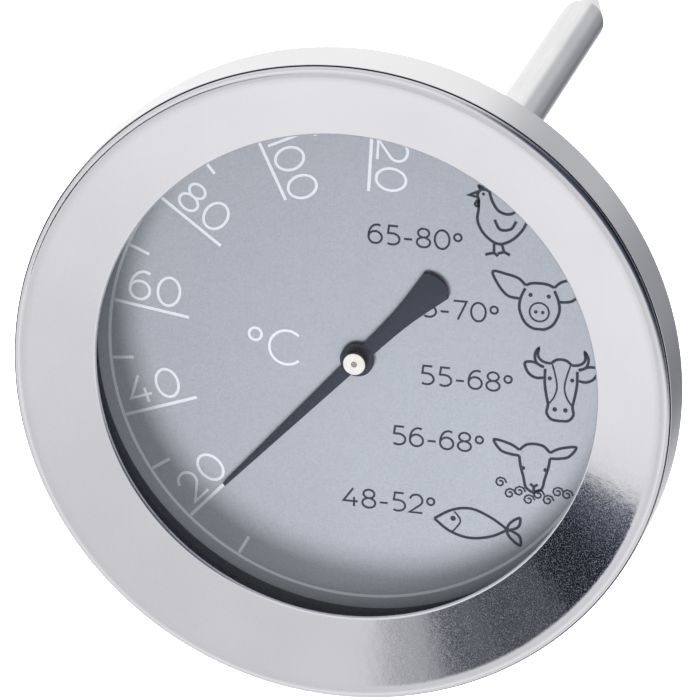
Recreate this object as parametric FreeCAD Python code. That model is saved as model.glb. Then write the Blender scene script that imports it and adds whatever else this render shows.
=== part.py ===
import FreeCAD, Part
import math
import os

# Dial thermometer for roasting meat. Millimetres.
# Origin: centre of the lower face of the ferrule, where the stem leaves it and
# where pushing it into the meat must stop. +Z: out of the dial.
# +X: the way the labels on the dial read. +Y: top of the dial.
# The stem hangs down the -Z side.

# --- Dial scale ---------------------------------------------------------
DEGREES_PER_CELSIUS = 1.4       # turn of the pointer for one degree Celsius
ANGLE_AT_0_C = 255.5            # direction of the 0 C mark, from +X
REST_CELSIUS = 20.0             # reading the pointer is modelled at

# --- Bezel ring ---------------------------------------------------------
LIP_R = 0.4                     # round on the edge of the opening
OPENING_R = 23.5
OPENING_Z = 17.0
SHOULDER_R = 0.65               # round on the outer top edge
SHOULDER_CENTRE_R = 29.93
SHOULDER_CENTRE_Z = 19.35
BEZEL_T = 0.8                   # sheet thickness
SKIRT_BOTTOM_Z = 17.75

# --- Case ---------------------------------------------------------------
BACK_Z = 5.0                    # outer face of the case back
CASE_T = 0.8                    # sheet thickness
CUP_R = 24.8                    # outside of the lower cup
CUP_CORNER_R = 2.0
STEP_TOP_Z = 10.2               # ledge the dial rests on
WELL_R = 27.1                   # outside of the wider upper cup
FLANGE_BOTTOM_Z = 13.8
RIM_BOTTOM_R = 30.85
RIM_TOP_R = 30.76
RIM_TOP_Z = 19.1
RIM_CORNER_R = 0.4
RIM_CHAMFER = 0.06
RIM_INNER_R = 29.9
COUNTERBORE_R = 30.61           # the bezel skirt drops into this
COUNTERBORE_Z = 17.3
NECK_R = 3.4                    # hole for the ferrule
DIMPLE_R = 5.0                  # round recess that seats the ferrule
DIMPLE_DEPTH = 0.3

# --- Dial, spacer, lens, seals -------------------------------------------
DIAL_R = 26.2
DIAL_T = 0.8
DIAL_HOLE_R = 0.9
SPACER_INNER_R = 25.0
SPACER_COLLAR_INNER_R = 26.35
SPACER_COLLAR_OUTER_R = 27.4
SPACER_COLLAR_TOP_Z = 16.4
LENS_R = 26.2
LENS_BOTTOM_Z = 15.5
LENS_T = 1.0
GASKET_INNER_R = 24.6
SEAL_INNER_R = 29.75
SEAL_OUTER_R = 30.58

# --- Pointer --------------------------------------------------------------
POINTER_BOTTOM_Z = 11.25
POINTER_T = 0.3
HUB_R = 1.6
HUB_HOLE_R = 0.8
NEEDLE_LENGTH = 18.7
NEEDLE_ROOT_HALF_W = 0.7
NEEDLE_TIP_HALF_W = 0.1
TAIL_LENGTH = 11.6
TAIL_CORNER_AT = 10.8
TAIL_CORNER_HALF_W = 1.55
TAIL_MIDDLE_AT = 6.2
TAIL_MIDDLE_HALF_W = 0.87
TAIL_ROOT_HALF_W = 0.72
BUSHING_R = 1.05
BUSHING_TOP_Z = 12.65
STAFF_R = 0.4
STAFF_PIN_R = 0.25
STAFF_PIN_TOP_Z = 12.6
STAFF_SHOULDER_Z = 11.2

# --- Stem -----------------------------------------------------------------
STEM_R = 2.5
STEM_NECK_R = 2.3               # upper end, turned down to leave a shoulder
STEM_BORE_R = 2.0
STEM_TOP_Z = 7.5
CONE_TOP_Z = -98.5
TIP_Z = -107.0
TIP_NOSE_R = 0.35               # round on the dulled point
TIP_SPIGOT_LENGTH = 3.0

# --- Ferrule that fastens the stem to the case -----------------------------
FERRULE_R = 4.5
FERRULE_CHAMFER = 0.8
FERRULE_HEAD_R = 4.2
FERRULE_HEAD_T = 0.5
WASHER_R = 5.5
WASHER_T = 0.5

# --- Guides, coil and staff inside the stem --------------------------------
GUIDE_BORE_R = 0.45             # 0.05 clearance round the staff
GUIDE_LENGTH = 3.0
GUIDE_HEAD_T = 0.7
LOWER_GUIDE_Z = -56.0
MID_GUIDE_Z = -26.0
ANCHOR_R = 1.8
ANCHOR_LENGTH = 2.0
COLLAR_R = 1.5
COLLAR_BOTTOM_Z = -60.7
COLLAR_LENGTH = 2.0
COIL_R = 1.4                    # to the middle of the strip
COIL_STRIP_T = 0.3
COIL_STRIP_W = 1.8
COIL_PITCH = 2.8
COIL_END_GAP = 0.3


def polar(centre, radius, degrees):
    """Point on a circle in the r-z half plane."""
    a = math.radians(degrees)
    return (centre[0] + radius * math.cos(a), centre[1] + radius * math.sin(a))


def spun(start, steps):
    """Solid of revolution about Z from a closed outline in the r-z half plane.

    A step is (end,) for a straight edge or (middle, end) for an arc."""
    def lift(point):
        return FreeCAD.Vector(point[0], 0, point[1])
    edges = []
    here = start
    for step in steps + [(start,)]:
        end = step[-1]
        if len(step) == 2:
            edges.append(Part.Arc(lift(here), lift(step[0]), lift(end)).toShape())
        else:
            edges.append(Part.makeLine(lift(here), lift(end)))
        here = end
    face = Part.Face(Part.Wire(edges))
    return face.revolve(FreeCAD.Vector(0, 0, 0), FreeCAD.Vector(0, 0, 1), 360)


def ring(inner_r, outer_r, bottom_z, top_z):
    """Plain ring, square in section."""
    return spun((inner_r, bottom_z), [((outer_r, bottom_z),),
                                      ((outer_r, top_z),),
                                      ((inner_r, top_z),)])


def disc(radius, bottom_z, top_z):
    base = FreeCAD.Vector(0, 0, bottom_z)
    return Part.makeCylinder(radius, top_z - bottom_z, base)


def face_slope():
    """Angle of the dished bezel face, tangent to the lip and the shoulder."""
    dr = SHOULDER_CENTRE_R - (OPENING_R + LIP_R)
    dz = SHOULDER_CENTRE_Z - OPENING_Z
    lift = math.asin((SHOULDER_R - LIP_R) / math.hypot(dr, dz))
    return math.degrees(math.atan2(dz, dr) + lift)


def bezel_underside_z(r):
    slope = face_slope()
    foot = polar((OPENING_R + LIP_R, OPENING_Z), LIP_R, slope - 90)
    return foot[1] + (r - foot[0]) * math.tan(math.radians(slope))


def dimple_z():
    """Height of the outer face of the recess that the ferrule sits in."""
    return BACK_Z + DIMPLE_DEPTH


def make_bezel_ring():
    slope = face_slope()
    lip = (OPENING_R + LIP_R, OPENING_Z)
    shoulder = (SHOULDER_CENTRE_R, SHOULDER_CENTRE_Z)
    skirt_r = SHOULDER_CENTRE_R + SHOULDER_R
    inside_r = skirt_r - BEZEL_T
    return spun(polar(lip, LIP_R, slope - 90), [
        (polar(lip, LIP_R, slope + 180), polar(lip, LIP_R, slope + 90)),
        (polar(shoulder, SHOULDER_R, slope + 90),),
        (polar(shoulder, SHOULDER_R, 45), (skirt_r, SHOULDER_CENTRE_Z)),
        ((skirt_r, SKIRT_BOTTOM_Z),),
        ((inside_r, SKIRT_BOTTOM_Z),),
        ((inside_r, bezel_underside_z(inside_r)),)])


def make_case_shell():
    floor = BACK_Z + CASE_T
    cup_in = CUP_R - CASE_T
    well_in = WELL_R - CASE_T
    step_bottom = STEP_TOP_Z - CASE_T
    flange_top = FLANGE_BOTTOM_Z + CASE_T
    corner = (CUP_R - CUP_CORNER_R, BACK_Z + CUP_CORNER_R)
    well_corner = (WELL_R - CASE_T, STEP_TOP_Z)
    rim_corner = (RIM_BOTTOM_R - RIM_CORNER_R, FLANGE_BOTTOM_Z + RIM_CORNER_R)
    inner_round = CUP_CORNER_R - CASE_T
    return spun((NECK_R, dimple_z()), [
        ((DIMPLE_R, dimple_z()),),
        ((DIMPLE_R, BACK_Z),),
        ((corner[0], BACK_Z),),
        (polar(corner, CUP_CORNER_R, -45), (CUP_R, corner[1])),
        ((CUP_R, step_bottom),),
        ((well_corner[0], step_bottom),),
        (polar(well_corner, CASE_T, -45), (WELL_R, STEP_TOP_Z)),
        ((WELL_R, FLANGE_BOTTOM_Z),),
        ((rim_corner[0], FLANGE_BOTTOM_Z),),
        (polar(rim_corner, RIM_CORNER_R, -45), (RIM_BOTTOM_R, rim_corner[1])),
        ((RIM_TOP_R, RIM_TOP_Z - RIM_CHAMFER),),
        ((RIM_TOP_R - RIM_CHAMFER, RIM_TOP_Z),),
        ((COUNTERBORE_R, RIM_TOP_Z),),
        ((COUNTERBORE_R, COUNTERBORE_Z),),
        ((RIM_INNER_R, COUNTERBORE_Z),),
        ((RIM_INNER_R, flange_top),),
        ((well_in, flange_top),),
        ((well_in, STEP_TOP_Z),),
        ((cup_in, STEP_TOP_Z),),
        ((cup_in, corner[1]),),
        (polar(corner, inner_round, -45), (corner[0], floor)),
        ((DIMPLE_R + CASE_T, floor),),
        ((DIMPLE_R + CASE_T, dimple_z() + CASE_T),),
        ((NECK_R, dimple_z() + CASE_T),)])


def make_case_seal():
    return ring(SEAL_INNER_R, SEAL_OUTER_R, COUNTERBORE_Z, SKIRT_BOTTOM_Z)


def make_lens_gasket():
    lens_top = LENS_BOTTOM_Z + LENS_T
    return spun((GASKET_INNER_R, lens_top), [
        ((LENS_R, lens_top),),
        ((LENS_R, bezel_underside_z(LENS_R)),),
        ((GASKET_INNER_R, bezel_underside_z(GASKET_INNER_R)),)])


def make_lens():
    return disc(LENS_R, LENS_BOTTOM_Z, LENS_BOTTOM_Z + LENS_T)


def make_spacer_ring():
    dial_top = STEP_TOP_Z + DIAL_T
    flange_top = FLANGE_BOTTOM_Z + CASE_T
    return spun((SPACER_INNER_R, dial_top), [
        ((DIAL_R, dial_top),),
        ((DIAL_R, flange_top),),
        ((SPACER_COLLAR_OUTER_R, flange_top),),
        ((SPACER_COLLAR_OUTER_R, SPACER_COLLAR_TOP_Z),),
        ((SPACER_COLLAR_INNER_R, SPACER_COLLAR_TOP_Z),),
        ((SPACER_COLLAR_INNER_R, flange_top),),
        ((DIAL_R, LENS_BOTTOM_Z),),
        ((SPACER_INNER_R, LENS_BOTTOM_Z),)])


def make_dial_plate():
    return ring(DIAL_HOLE_R, DIAL_R, STEP_TOP_Z, STEP_TOP_Z + DIAL_T)


def make_pointer():
    """Flat needle and flared tail, drawn along +X and turned to the rest reading."""
    def at(x, y):
        return FreeCAD.Vector(x, y, POINTER_BOTTOM_Z)
    needle = Part.makePolygon([
        at(0, NEEDLE_ROOT_HALF_W),
        at(NEEDLE_LENGTH, NEEDLE_TIP_HALF_W),
        at(NEEDLE_LENGTH, -NEEDLE_TIP_HALF_W),
        at(0, -NEEDLE_ROOT_HALF_W),
        at(0, NEEDLE_ROOT_HALF_W)])
    tail = Part.Wire([
        Part.makeLine(at(0, -TAIL_ROOT_HALF_W), at(0, TAIL_ROOT_HALF_W)),
        Part.Arc(at(0, TAIL_ROOT_HALF_W),
                 at(-TAIL_MIDDLE_AT, TAIL_MIDDLE_HALF_W),
                 at(-TAIL_CORNER_AT, TAIL_CORNER_HALF_W)).toShape(),
        Part.Arc(at(-TAIL_CORNER_AT, TAIL_CORNER_HALF_W),
                 at(-TAIL_LENGTH, 0),
                 at(-TAIL_CORNER_AT, -TAIL_CORNER_HALF_W)).toShape(),
        Part.Arc(at(-TAIL_CORNER_AT, -TAIL_CORNER_HALF_W),
                 at(-TAIL_MIDDLE_AT, -TAIL_MIDDLE_HALF_W),
                 at(0, -TAIL_ROOT_HALF_W)).toShape()])
    up = FreeCAD.Vector(0, 0, POINTER_T)
    top = POINTER_BOTTOM_Z + POINTER_T
    body = disc(HUB_R, POINTER_BOTTOM_Z, top)
    body = body.fuse(Part.Face(needle).extrude(up))
    body = body.fuse(Part.Face(tail).extrude(up))
    body = body.cut(disc(HUB_HOLE_R, POINTER_BOTTOM_Z, top)).removeSplitter()
    rest = ANGLE_AT_0_C - DEGREES_PER_CELSIUS * REST_CELSIUS
    body.rotate(FreeCAD.Vector(0, 0, 0), FreeCAD.Vector(0, 0, 1), rest)
    return body


def make_pointer_bushing():
    pointer_top = POINTER_BOTTOM_Z + POINTER_T
    return spun((STAFF_PIN_R, POINTER_BOTTOM_Z), [
        ((HUB_HOLE_R, POINTER_BOTTOM_Z),),
        ((HUB_HOLE_R, pointer_top),),
        ((BUSHING_R, pointer_top),),
        ((BUSHING_R, BUSHING_TOP_Z),),
        ((STAFF_PIN_R, BUSHING_TOP_Z),)])


def make_pointer_staff():
    rod = disc(STAFF_R, COLLAR_BOTTOM_Z, STAFF_SHOULDER_Z)
    return rod.fuse(disc(STAFF_PIN_R, STAFF_SHOULDER_Z, STAFF_PIN_TOP_Z))


def make_staff_collar():
    return ring(STAFF_R, COLLAR_R, COLLAR_BOTTOM_Z, COLLAR_BOTTOM_Z + COLLAR_LENGTH)


def make_bimetal_helix():
    """Flat strip wound on edge; its ends stand clear of the collar above."""
    bottom = CONE_TOP_Z + TIP_SPIGOT_LENGTH + ANCHOR_LENGTH
    height = COLLAR_BOTTOM_Z - COIL_END_GAP - bottom - COIL_STRIP_W
    path = Part.makeHelix(COIL_PITCH, height, COIL_R)
    inner = COIL_R - COIL_STRIP_T / 2
    outer = COIL_R + COIL_STRIP_T / 2
    corners = [(inner, 0), (outer, 0), (outer, COIL_STRIP_W), (inner, COIL_STRIP_W)]
    points = [FreeCAD.Vector(r, 0, z) for r, z in corners]
    section = Part.makePolygon(points + points[:1])
    strip = Part.Wire(path.Edges).makePipeShell([section], True, True)
    strip.translate(FreeCAD.Vector(0, 0, bottom))
    return strip


def make_coil_anchor():
    bottom = CONE_TOP_Z + TIP_SPIGOT_LENGTH
    return disc(ANCHOR_R, bottom, bottom + ANCHOR_LENGTH)


def make_guide(bottom_z):
    return ring(GUIDE_BORE_R, STEM_BORE_R, bottom_z, bottom_z + GUIDE_LENGTH)


def make_upper_guide():
    """Guide at the top of the stem, with a head that sits on the tube end."""
    head = ring(GUIDE_BORE_R, STEM_NECK_R, STEM_TOP_Z, STEM_TOP_Z + GUIDE_HEAD_T)
    return make_guide(STEM_TOP_Z - GUIDE_LENGTH).fuse(head).removeSplitter()


def make_stem_tube():
    return spun((STEM_BORE_R, CONE_TOP_Z), [
        ((STEM_R, CONE_TOP_Z),),
        ((STEM_R, 0),),
        ((STEM_NECK_R, 0),),
        ((STEM_NECK_R, STEM_TOP_Z),),
        ((STEM_BORE_R, STEM_TOP_Z),)])


def make_stem_tip():
    """Solid cone with a rounded nose and a spigot inside the tube."""
    nose = (0, TIP_Z + TIP_NOSE_R)
    reach = math.hypot(STEM_R, CONE_TOP_Z - nose[1])
    flank = math.degrees(math.atan2(CONE_TOP_Z - nose[1], STEM_R)
                         - math.acos(TIP_NOSE_R / reach))
    middle = (flank - 90) / 2
    top = CONE_TOP_Z + TIP_SPIGOT_LENGTH
    return spun((0, TIP_Z), [
        (polar(nose, TIP_NOSE_R, middle), polar(nose, TIP_NOSE_R, flank)),
        ((STEM_R, CONE_TOP_Z),),
        ((STEM_BORE_R, CONE_TOP_Z),),
        ((STEM_BORE_R, top),),
        ((0, top),)])


def make_stem_ferrule():
    washer_top = dimple_z() + CASE_T + WASHER_T
    return spun((STEM_NECK_R, 0), [
        ((FERRULE_R - FERRULE_CHAMFER, 0),),
        ((FERRULE_R, FERRULE_CHAMFER),),
        ((FERRULE_R, dimple_z()),),
        ((NECK_R, dimple_z()),),
        ((NECK_R, washer_top),),
        ((FERRULE_HEAD_R, washer_top),),
        ((FERRULE_HEAD_R, washer_top + FERRULE_HEAD_T),),
        ((STEM_NECK_R, washer_top + FERRULE_HEAD_T),)])


def make_ferrule_washer():
    floor = dimple_z() + CASE_T
    return ring(NECK_R, WASHER_R, floor, floor + WASHER_T)


def main():
    parts = {
        "bezel_ring": make_bezel_ring(),
        "case_shell": make_case_shell(),
        "case_seal": make_case_seal(),
        "lens_gasket": make_lens_gasket(),
        "lens": make_lens(),
        "spacer_ring": make_spacer_ring(),
        "dial_plate": make_dial_plate(),
        "pointer": make_pointer(),
        "pointer_bushing": make_pointer_bushing(),
        "pointer_staff": make_pointer_staff(),
        "staff_collar": make_staff_collar(),
        "bimetal_helix": make_bimetal_helix(),
        "coil_anchor": make_coil_anchor(),
        "lower_guide_bush": make_guide(LOWER_GUIDE_Z),
        "mid_guide_bush": make_guide(MID_GUIDE_Z),
        "upper_guide_bush": make_upper_guide(),
        "stem_tube": make_stem_tube(),
        "stem_tip": make_stem_tip(),
        "stem_ferrule": make_stem_ferrule(),
        "ferrule_washer": make_ferrule_washer(),
    }
    os.makedirs("parts", exist_ok=True)
    for name, shape in parts.items():
        shape.exportStep(os.path.join("parts", name + ".step"))
        box = shape.BoundBox
        print(name, shape.isValid(), len(shape.Solids), round(shape.Volume, 3),
              "z", round(box.ZMin, 2), round(box.ZMax, 2))


main()
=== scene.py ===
"""Looks of the dial meat thermometer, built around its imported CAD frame.

The frame: +Z out of the dial, +X the way its labels read, +Y its top.
Shapes are drawn in millimetres; MM turns them into metres when a mesh is made.
"""

import math

import bmesh
import bpy
from mathutils import Matrix, Vector


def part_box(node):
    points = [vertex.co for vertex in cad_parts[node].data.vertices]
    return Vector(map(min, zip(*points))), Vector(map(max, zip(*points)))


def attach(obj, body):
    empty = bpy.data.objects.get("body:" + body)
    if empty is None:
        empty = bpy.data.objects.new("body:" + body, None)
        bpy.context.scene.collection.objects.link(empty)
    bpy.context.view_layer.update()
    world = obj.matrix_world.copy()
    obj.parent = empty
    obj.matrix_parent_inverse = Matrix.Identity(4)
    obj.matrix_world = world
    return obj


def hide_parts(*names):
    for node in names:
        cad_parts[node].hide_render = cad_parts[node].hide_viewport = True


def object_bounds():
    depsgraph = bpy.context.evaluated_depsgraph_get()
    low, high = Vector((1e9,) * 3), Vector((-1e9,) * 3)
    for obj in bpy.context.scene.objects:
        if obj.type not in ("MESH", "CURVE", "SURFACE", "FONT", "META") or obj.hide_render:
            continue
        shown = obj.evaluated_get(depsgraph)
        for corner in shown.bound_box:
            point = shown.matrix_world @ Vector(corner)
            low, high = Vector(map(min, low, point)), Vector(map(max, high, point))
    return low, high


MM = 0.001

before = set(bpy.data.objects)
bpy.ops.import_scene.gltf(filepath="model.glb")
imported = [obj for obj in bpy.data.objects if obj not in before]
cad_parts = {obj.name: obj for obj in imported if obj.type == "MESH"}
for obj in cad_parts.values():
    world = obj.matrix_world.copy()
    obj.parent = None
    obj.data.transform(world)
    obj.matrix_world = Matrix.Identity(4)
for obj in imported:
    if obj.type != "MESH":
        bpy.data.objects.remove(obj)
CAD_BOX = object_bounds()


# --- Sizes read from the frame, in millimetres ------------------------------
def bottom_of(node):
    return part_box(node)[0].z / MM


def top_of(node):
    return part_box(node)[1].z / MM


def radius_of(node):
    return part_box(node)[1].x / MM


def bore_of(node):
    """Distance from the axis to the nearest corner of a CAD node."""
    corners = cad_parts[node].data.vertices
    return min(math.hypot(v.co.x, v.co.y) for v in corners) / MM


BEZEL_R = radius_of("bezel_ring")
BEZEL_TOP = top_of("bezel_ring")
BEZEL_UNDER = bottom_of("bezel_ring")       # lowest point of the rounded lip
OPENING_R = bore_of("bezel_ring")
CASE_R = radius_of("case_shell")
CASE_BACK = bottom_of("case_shell")
CASE_TOP = top_of("case_shell")
LENS_R = radius_of("lens")
LENS_UNDER = bottom_of("lens")
LENS_TOP = top_of("lens")
DIAL_R = radius_of("dial_plate")
DIAL_TOP = top_of("dial_plate")
DIAL_UNDER = bottom_of("dial_plate")
SPACER_IN_R = bore_of("spacer_ring")
SPACER_R = radius_of("spacer_ring")
SPACER_TOP = top_of("spacer_ring")
POINTER_UNDER = bottom_of("pointer")
POINTER_TOP = top_of("pointer")
BUSHING_R = radius_of("pointer_bushing")
BUSHING_TOP = top_of("pointer_bushing")
PIN_R = bore_of("pointer_bushing")
STAFF_TOP = top_of("pointer_staff")
STEM_R = radius_of("stem_tube")
STEM_BORE_R = bore_of("stem_tube")
STEM_TOP = top_of("stem_tube")
CONE_TOP = bottom_of("stem_tube")
TIP_Z = bottom_of("stem_tip")
FERRULE_R = radius_of("stem_ferrule")
FERRULE_HEAD_TOP = top_of("stem_ferrule")

# --- Detail sizes, in millimetres -------------------------------------------
SHEET = 0.8                     # steel sheet of the bezel and the case
LIP_ROUND = SHEET / 2
CROWN_R = 29.5                  # the bezel face eases over from here outward
CROWN_ROUND = 3.0
CROWN_SLOPE = 12.0              # degrees, of the eased part
SHOULDER_ROUND = 0.75
SKIRT_BOTTOM = 17.75
CUP_R = 24.8
CUP_ROUND = 2.0
STEP_Z = 10.2                   # ledge the dial rests on
WELL_R = 27.1
FLANGE_Z = 13.8                 # underside of the rim
RIM_TOP_R = 30.72
RIM_RISE = 0.15                 # the rim edge stands this far above its flat
RIM_IN_R = 29.9
COUNTERBORE_R = 30.66
COUNTERBORE_Z = 17.3
RIM_ROUND = 0.4
RIM_EDGE = 0.02
NECK_R = 3.4
DIMPLE_R = 5.0
DIMPLE_DEPTH = 0.3
STEM_NECK_R = 2.3
FERRULE_TAPER = 0.8             # height and depth of the ferrule's lower chamfer
FERRULE_LIP = 0.3               # the crimped head is this much narrower than the body
NOSE_R = 0.35                   # flat of the stem's point, before it is rounded
NOSE_ROUND = 0.1925
SPIGOT = 3.0                    # how far the tip reaches up inside the tube

# --- Dial print, in millimetres on the dial face -----------------------------
DEGREES_PER_CELSIUS = 1.4
ANGLE_AT_0_C = 255.5            # direction of 0 C, from +X
REST_CELSIUS = 20.0             # what the pointer reads at rest
# Each number with the distance from its mark's inner end back to its last figure.
SCALE_NUMBERS = ((20, 2.26), (40, 2.3), (60, 2.25), (80, 2.1), (100, 0.64), (120, 1.39))
SCALE_BETWEEN = (10, 30, 50, 70, 90, 110)
SCALE_CENTRE = (0.04, 0.04)     # the print sits a little off the axis
MARK_OUT_R = 23.66
MARK_IN_R = 16.39
SHORT_MARK_IN_R = 21.66
MARK_WIDTH = 0.3
SCALE_RING_R = 23.85
SCALE_RING_WIDTH = 0.28
NUMBER_HEIGHT = 3.04
NUMBER_STROKE = 0.26
NUMBER_GAP = 0.48
NUMBER_ABOVE = 2.03             # centre of the figures above their mark
UNIT_RING = (-9.8, 1.46, 1.2)   # centre x, y and mean diameter
UNIT_LETTER = (-6.78, 0.4, 3.34)
UNIT_STROKE = 0.25
LABEL_HEIGHT = 2.0
LABEL_STROKE = 0.2
LABEL_GAP = 0.235
LABELS = (("65-80°", 0.72, 11.35), ("65-70°", 4.27, 4.65), ("55-68°", 5.86, -2.0),
          ("56-68°", 3.29, -8.25), ("48-52°", -1.29, -14.9))
INK_HEIGHT = 0.015
INK_ROOT = 0.01
INK_STEP = 0.003                # keeps crossing lines of ink apart
INK_LAYERS = 4
INK_MITRE = 0.4                 # keeps the outside of a sharp turn short
ICON_STROKE = 0.27
FINE_STROKE = 0.17
CURLS = 8                       # on the lamb
CURL_R = 0.58                   # outer radius
CURL_PITCH = 0.9
CURL_ROW_Y = -2.85              # middle of the row
CURL_RISE = 0.09                # how fast the row rises to its ends
CURL_STAGGER = 0.3
CURL_POINTS = 12
CURL_STEP = 0.8                 # radians between the points of a curl
CURL_SHRINK = 14                # this many points would wind a curl in to nothing

# --- Pointer, in millimetres, drawn along +X -----------------------------------
HUB_R = 1.6
NEEDLE_LENGTH = 18.7
NEEDLE_ROOT = 0.62              # half widths
NEEDLE_TIP = 0.17
TAIL_LENGTH = 11.6
TAIL_CORNER = (10.8, 1.62)
TAIL_MIDDLE = (6.2, 0.93)
TAIL_ROOT = 0.66
TAIL_FLARE = 0.02               # the tail is this much wider as it leaves the hub
POINTER_ROUND = 0.05
PUNCH_R = 0.12                  # centre mark in the end of the staff
STAFF_GAP = 0.02                # between the staff and the bushing
STAFF_STEP = 0.05               # the staff narrows this far below the pointer
CAP_DEPTH = 0.05                # ivory of the bushing, down from its end
CAP_FADE = 0.02

# --- Camera and lights -----------------------------------------------------------
CAMERA_AIM = (0.53, 2.94, 17.0)     # millimetres
CAMERA_DISTANCE = 455.7
CAMERA_BEARING = 59.3               # degrees from +X
CAMERA_TILT = 24.4                  # degrees off +Z
CAMERA_ROLL = 5.5
CAMERA_LENS = 257.14                # millimetres, on a 36 mm sensor
SENSOR = 36.0
CAMERA_CLIP = (0.01, 50.0)          # metres
KEY_LIGHT = (243.0, 60.0, 5.57, 26.0)           # bearing, elevation, strength, width in degrees
FILL_LIGHT = (315.0, 68.0, 0.05, 0.04, 0.03)    # bearing, elevation, distance, size, power
FLOOR_HALF = 6.0                                # metres, as is the next
FLOOR_GAP = 0.0005

# Soft dark cards seen only as reflections: bearing, elevation, radius, softness, strength.
# A strength below zero brightens instead.
CARDS = (
    (144.0, 56.2, 7.5, 3.0, 0.46),
    (157.0, 50.7, 8.0, 3.0, 0.79),
    (165.7, 45.6, 8.0, 2.5, 0.62),
    (176.0, 41.5, 8.5, 2.5, 0.77),
    (182.3, 38.0, 9.3, 1.5, 0.94),
    (32.0, 5.0, 36.0, 14.0, 0.93),
    (10.0, -26.0, 26.0, 8.0, 0.9),
    (44.0, -44.0, 15.0, 7.0, 0.85),
    (112.0, -65.6, 7.0, 8.0, -0.05),
    (0.0, -64.0, 26.0, 4.0, 0.38),
    (330.0, -61.0, 16.0, 10.0, 0.47),
    (296.0, -66.0, 10.0, 6.0, 0.45),
)

AMBIENT = 0.24                      # share of the studio light that paint and ink receive
CARD_TINT = (1.0, 0.985, 0.942)     # the dark cards are a little blue

# How bright the studio is by height, from straight down (0) to straight up (1).
LEVELS = ((0.0, 0.84), (0.02, 0.94), (0.05, 1.16), (0.09, 1.16), (0.2, 0.86), (0.55, 0.82),
          (0.69, 1.06), (0.98, 0.78))

SEGMENTS = 288
ARC_STEP = 5.0                      # degrees between points of a rounded edge
TINY = 1e-6
LEVEL_WITHIN = 1e-7                 # metres between the ends of an edge that counts as level


# --- Outlines ----------------------------------------------------------------------
def bow(cx, cy, rx, ry, start, end, step=8.0):
    """Points along an elliptic arc between two angles in degrees, both included."""
    count = max(2, math.ceil(abs(end - start) / step))
    angles = [math.radians(start + (end - start) * i / count) for i in range(count + 1)]
    return [(cx + rx * math.cos(a), cy + ry * math.sin(a)) for a in angles]


def ease(points, closed=False, steps=6):
    """Smooth curve through a few points (Catmull-Rom)."""
    count = len(points)
    out = []
    for i in range(count if closed else count - 1):
        if closed:
            quad = [points[(i + k) % count] for k in (-1, 0, 1, 2)]
        else:
            quad = [points[min(max(i + k, 0), count - 1)] for k in (-1, 0, 1, 2)]
        for s in range(steps):
            t = s / steps
            weights = (-t + 2 * t ** 2 - t ** 3, 2 - 5 * t ** 2 + 3 * t ** 3,
                       t + 4 * t ** 2 - 3 * t ** 3, t ** 3 - t ** 2)
            out.append(tuple(sum(w * p[k] for w, p in zip(weights, quad)) / 2 for k in (0, 1)))
    if not closed:
        out.append(points[-1])
    return out


def rounded(corners):
    """Closed r-z outline from corners (r, z) or (r, z, round), with true arcs."""
    out = []
    count = len(corners)
    for i, corner in enumerate(corners):
        here = Vector(corner[:2])
        if len(corner) == 2:
            out.append(here)
            continue
        back = (Vector(corners[i - 1][:2]) - here).normalized()
        ahead = (Vector(corners[(i + 1) % count][:2]) - here).normalized()
        half = back.angle(ahead) / 2
        reach = corner[2] / math.tan(half)
        centre = here + (back + ahead).normalized() * corner[2] / math.sin(half)
        start = here + back * reach - centre
        turn = (here + ahead * reach - centre).angle_signed(start)
        steps = max(2, math.ceil(math.degrees(abs(turn)) / ARC_STEP))
        for s in range(steps + 1):
            out.append(centre + Matrix.Rotation(turn * s / steps, 2) @ start)
    return out


def with_supports(outline, margin=0.06):
    """Adds points just inside the ends of long edges, so that smooth shading stays on the rounds."""
    out = []
    for i, here in enumerate(outline):
        ahead = outline[(i + 1) % len(outline)]
        out.append(here)
        edge = ahead - here
        if edge.length > 4 * margin:
            step = edge.normalized() * margin
            out.extend((here + step, ahead - step))
    return out


# --- Mesh makers -------------------------------------------------------------------
def piece(name, mesh, body, material, nodes=(), sharp=30.0):
    """Links a finished mesh as a piece that rides on a body, with its material."""
    mesh.materials.append(material)
    mesh.shade_smooth()
    mesh.set_sharp_from_angle(angle=math.radians(sharp))
    thing = bpy.data.objects.new(name, mesh)
    bpy.context.scene.collection.objects.link(thing)
    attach(thing, body)
    if nodes:
        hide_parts(*nodes)


def mesh_from(name, verts, faces):
    mesh = bpy.data.meshes.new(name)
    mesh.from_pydata([Vector(v) * MM for v in verts], [], faces)
    bm = bmesh.new()
    bm.from_mesh(mesh)
    bmesh.ops.recalc_face_normals(bm, faces=bm.faces)
    bm.to_mesh(mesh)
    bm.free()
    return mesh


def lathe(name, corners, segments=SEGMENTS):
    """Closed solid of revolution about Z; corners on the axis become single points."""
    outline = with_supports(rounded(corners))
    verts, rings = [], []
    for point in outline:
        if point.x < TINY:
            rings.append([len(verts)] * segments)
            verts.append((0, 0, point.y))
            continue
        rings.append(range(len(verts), len(verts) + segments))
        for k in range(segments):
            a = 2 * math.pi * k / segments
            verts.append((point.x * math.cos(a), point.x * math.sin(a), point.y))
    faces = []
    for i, below in enumerate(rings):
        above = rings[(i + 1) % len(rings)]
        for k in range(segments):
            n = (k + 1) % segments
            around = [below[k], below[n], above[n], above[k]]
            face = list(dict.fromkeys(around))
            if len(face) > 2:
                faces.append(face)
    return mesh_from(name, verts, faces)


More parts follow.
